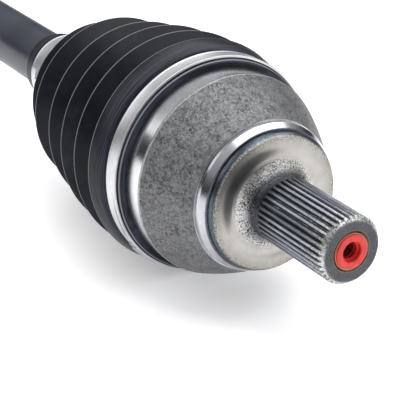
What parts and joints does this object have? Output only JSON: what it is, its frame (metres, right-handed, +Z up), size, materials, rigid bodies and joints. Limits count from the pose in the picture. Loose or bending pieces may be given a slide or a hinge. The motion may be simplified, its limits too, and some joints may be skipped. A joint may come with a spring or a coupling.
{
  "type": "constant velocity axle",
  "caption": "Drive shaft with a ball joint and splined threaded stub at the hub end, a plunging tripod joint with a bolted flange at the other, and pleated rubber boots.",
  "frame": {"origin": "centre of the hub shoulder, the flat ring behind the splined stub that clamps against a wheel bearing", "axes": "+X along the axle towards the splined stub; +Z up, along the hinge axis of both joints; +Y completes the right-handed set"},
  "size_m": [0.6241, 0.1096, 0.1096],
  "materials": {
    "hub_steel": "shot-blasted and machined, light oil film",
    "tulip_steel": "forged and partly machined",
    "plug_plastic": "soft moulded, satin",
    "boot_rubber": "moulded, satin",
    "clamp_steel": "rolled bright strip",
    "shaft_paint": "semi-gloss paint over tube steel",
    "race_steel": "hardened and ground",
    "bearing_steel": "polished bearing steel",
    "ring_steel": "spring steel",
    "thrust_plastic": "natural nylon",
    "cover_zinc": "zinc plated pressed sheet"
  },
  "bodies": {
    "shaft": {"shaft_bar": "shaft_paint", "outer_shaft_end": "shaft_paint", "inner_shaft_end": "shaft_paint", "inner_race": "race_steel", "race_circlip": "ring_steel", "thrust_ring": "thrust_plastic", "dished_washer": "ring_steel", "outer_clamp_small": "clamp_steel", "inner_clamp_small": "clamp_steel", "tripod_star": "race_steel", "star_circlip": "ring_steel", "star_stop_ring": "ring_steel"},
    "outer_hub": {"outer_housing": "hub_steel", "outer_boot": "boot_rubber", "outer_clamp_large": "clamp_steel"},
    "cage": {"ball_cage": "race_steel", "ball_1": "bearing_steel", "ball_2": "bearing_steel", "ball_3": "bearing_steel", "ball_4": "bearing_steel", "ball_5": "bearing_steel", "ball_6": "bearing_steel"},
    "plug": {"thread_plug": "plug_plastic"},
    "carriage_1": {"trunnion_ring_1": "bearing_steel", "needles_1": "bearing_steel", "inner_boot_neck": "boot_rubber"},
    "carriage_2": {"trunnion_ring_2": "bearing_steel", "needles_2": "bearing_steel"},
    "carriage_3": {"trunnion_ring_3": "bearing_steel", "needles_3": "bearing_steel"},
    "roller_turn_1": {"roller_1": "bearing_steel", "roller_clips_1": "ring_steel"},
    "roller_turn_2": {"roller_2": "bearing_steel", "roller_clips_2": "ring_steel"},
    "roller_turn_3": {"roller_3": "bearing_steel", "roller_clips_3": "ring_steel"},
    "inner_hub": {"inner_housing": "tulip_steel", "end_cover": "cover_zinc", "cover_seal": "boot_rubber", "inner_boot_bellows": "boot_rubber", "inner_clamp_large": "clamp_steel"}
  },
  "joints": [
    {"name": "outer_swing", "type": "hinge", "parent": "shaft", "child": "outer_hub", "pos_m": [-0.052, 0, 0], "axis": [0, 0, 1], "range_deg": [-45, 45], "deforming": ["outer_boot"]},
    {"name": "cage_follow", "type": "hinge", "parent": "shaft", "child": "cage", "pos_m": [-0.052, 0, 0], "axis": [0, 0, 1], "range_deg": [-23, 23]},
    {"name": "plug_pull", "type": "slide", "parent": "outer_hub", "child": "plug", "axis": [1, 0, 0], "range_m": [0, 0.06]},
    {"name": "inner_swing", "type": "hinge", "parent": "shaft", "child": "carriage_1", "pos_m": [-0.53, 0, 0], "axis": [0, 0, 1], "range_deg": [-18, 18], "deforming": ["inner_boot_neck"]},
    {"name": "carriage_2_shift", "type": "slide", "parent": "carriage_1", "child": "carriage_2", "axis": [1, 0, 0], "range_m": [-0.0075, 0.0075]},
    {"name": "carriage_3_shift", "type": "slide", "parent": "carriage_1", "child": "carriage_3", "axis": [1, 0, 0], "range_m": [-0.0075, 0.0075]},
    {"name": "plunge", "type": "slide", "parent": "carriage_1", "child": "inner_hub", "axis": [1, 0, 0], "range_m": [-0.012, 0.012], "deforming": ["inner_boot_bellows"]},
    {"name": "roller_1_spin", "type": "hinge", "parent": "carriage_1", "child": "roller_turn_1", "pos_m": [-0.53, 0, 0.025], "axis": [0, 0, 1], "range_deg": [-45, 45]},
    {"name": "roller_2_spin", "type": "hinge", "parent": "carriage_2", "child": "roller_turn_2", "pos_m": [-0.53, -0.02165, -0.0125], "axis": [0, -0.866, -0.5], "range_deg": [-45, 45]},
    {"name": "roller_3_spin", "type": "hinge", "parent": "carriage_3", "child": "roller_turn_3", "pos_m": [-0.53, 0.02165, -0.0125], "axis": [0, 0.866, -0.5], "range_deg": [-45, 45]}
  ],
  "couplings": [
    {"joint": "cage_follow", "follows": "outer_swing", "ratio": 0.5},
    {"joint": "carriage_2_shift", "follows": "inner_swing", "m_per_rad": -0.02165},
    {"joint": "carriage_3_shift", "follows": "inner_swing", "m_per_rad": 0.02165},
    {"joint": "roller_1_spin", "follows": "plunge", "rad_per_m": -62.5},
    {"joint": "roller_2_spin", "follows": "plunge", "rad_per_m": -62.5},
    {"joint": "roller_3_spin", "follows": "plunge", "rad_per_m": -62.5}
  ]
}
